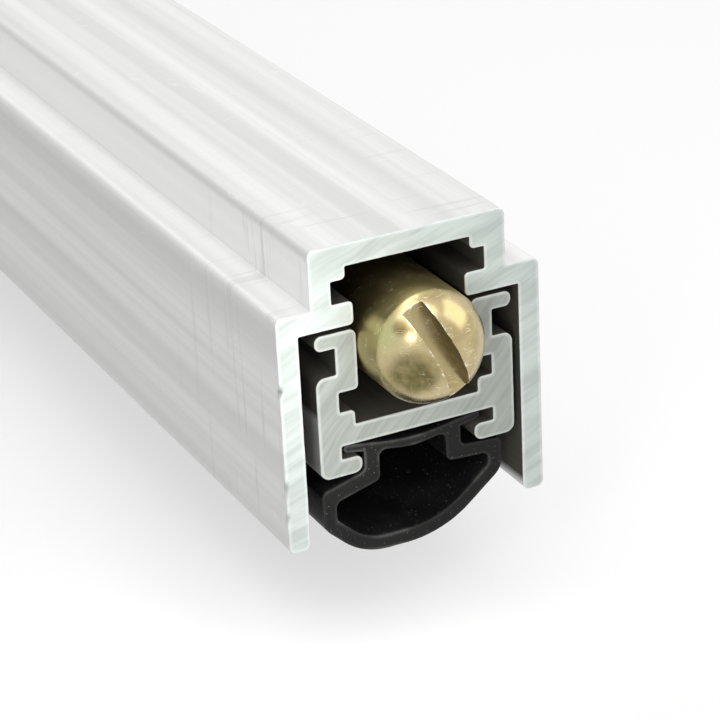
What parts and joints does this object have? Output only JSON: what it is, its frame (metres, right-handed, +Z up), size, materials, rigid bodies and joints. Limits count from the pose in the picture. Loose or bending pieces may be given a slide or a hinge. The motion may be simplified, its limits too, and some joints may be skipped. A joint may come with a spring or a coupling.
{
  "type": "automatic door bottom seal",
  "caption": "Aluminium drop-down door bottom seal: pressing the brass plunger in its end slides a bar, turns two levers and lowers a bar with a hollow rubber bulb.",
  "frame": {"origin": "middle of the housing's top face", "axes": "+X along the seal towards the plunger, +Z up out of the top face"},
  "size_m": [0.3357, 0.02, 0.0237],
  "materials": {
    "anodised_aluminium": "mill finish, saw-cut ends",
    "black_rubber": "matt",
    "brass": "polished, turned",
    "plated_steel": "zinc plated",
    "zinc_casting": "plain die casting"
  },
  "bodies": {
    "housing": {"housing": "anodised_aluminium", "top_screws": "plated_steel", "spring_block": "zinc_casting", "front_bracket": "zinc_casting", "rear_bracket": "zinc_casting", "front_pivot_pin": "plated_steel", "rear_pivot_pin": "plated_steel"},
    "slide_gear": {"slide_bar": "plated_steel", "slide_block": "zinc_casting", "slide_rivets": "plated_steel", "push_rod": "plated_steel", "rod_cross_pin": "plated_steel", "spring_washer": "plated_steel", "return_spring": "plated_steel"},
    "plunger": {"plunger": "brass"},
    "front_lever": {"front_lever": "plated_steel", "front_drop_pin": "plated_steel"},
    "rear_lever": {"rear_lever": "plated_steel", "rear_drop_pin": "plated_steel"},
    "drop_bar": {"drop_bar": "anodised_aluminium", "seal": "black_rubber", "front_shoe": "zinc_casting", "rear_shoe": "zinc_casting", "shoe_screws": "plated_steel"}
  },
  "joints": [
    {"name": "plunger_press", "type": "slide", "parent": "housing", "child": "slide_gear", "axis": [-1, 0, 0], "range_m": [0, 0.0042], "stiffness_N_per_m": 2000, "springref_m": -0.008, "deforming": ["return_spring"]},
    {"name": "plunger_turn", "type": "hinge", "parent": "slide_gear", "child": "plunger", "pos_m": [0.165, 0, -0.00755], "axis": [1, 0, 0], "continuous": true},
    {"name": "front_swing", "type": "hinge", "parent": "housing", "child": "front_lever", "pos_m": [0.074, 0, -0.0104], "axis": [0, -1, 0], "range_deg": [0, 34.71]},
    {"name": "rear_swing", "type": "hinge", "parent": "housing", "child": "rear_lever", "pos_m": [-0.076, 0, -0.0104], "axis": [0, -1, 0], "range_deg": [0, 34.71]},
    {"name": "seal_drop", "type": "slide", "parent": "housing", "child": "drop_bar", "axis": [0, 0, -1], "range_m": [0, 0.008]}
  ],
  "couplings": [
    {"joint": "seal_drop", "follows": "plunger_press", "ratio": 1.9048},
    {"joint": "front_swing", "follows": "plunger_press", "rad_per_m": 144.24},
    {"joint": "rear_swing", "follows": "plunger_press", "rad_per_m": 144.24}
  ]
}
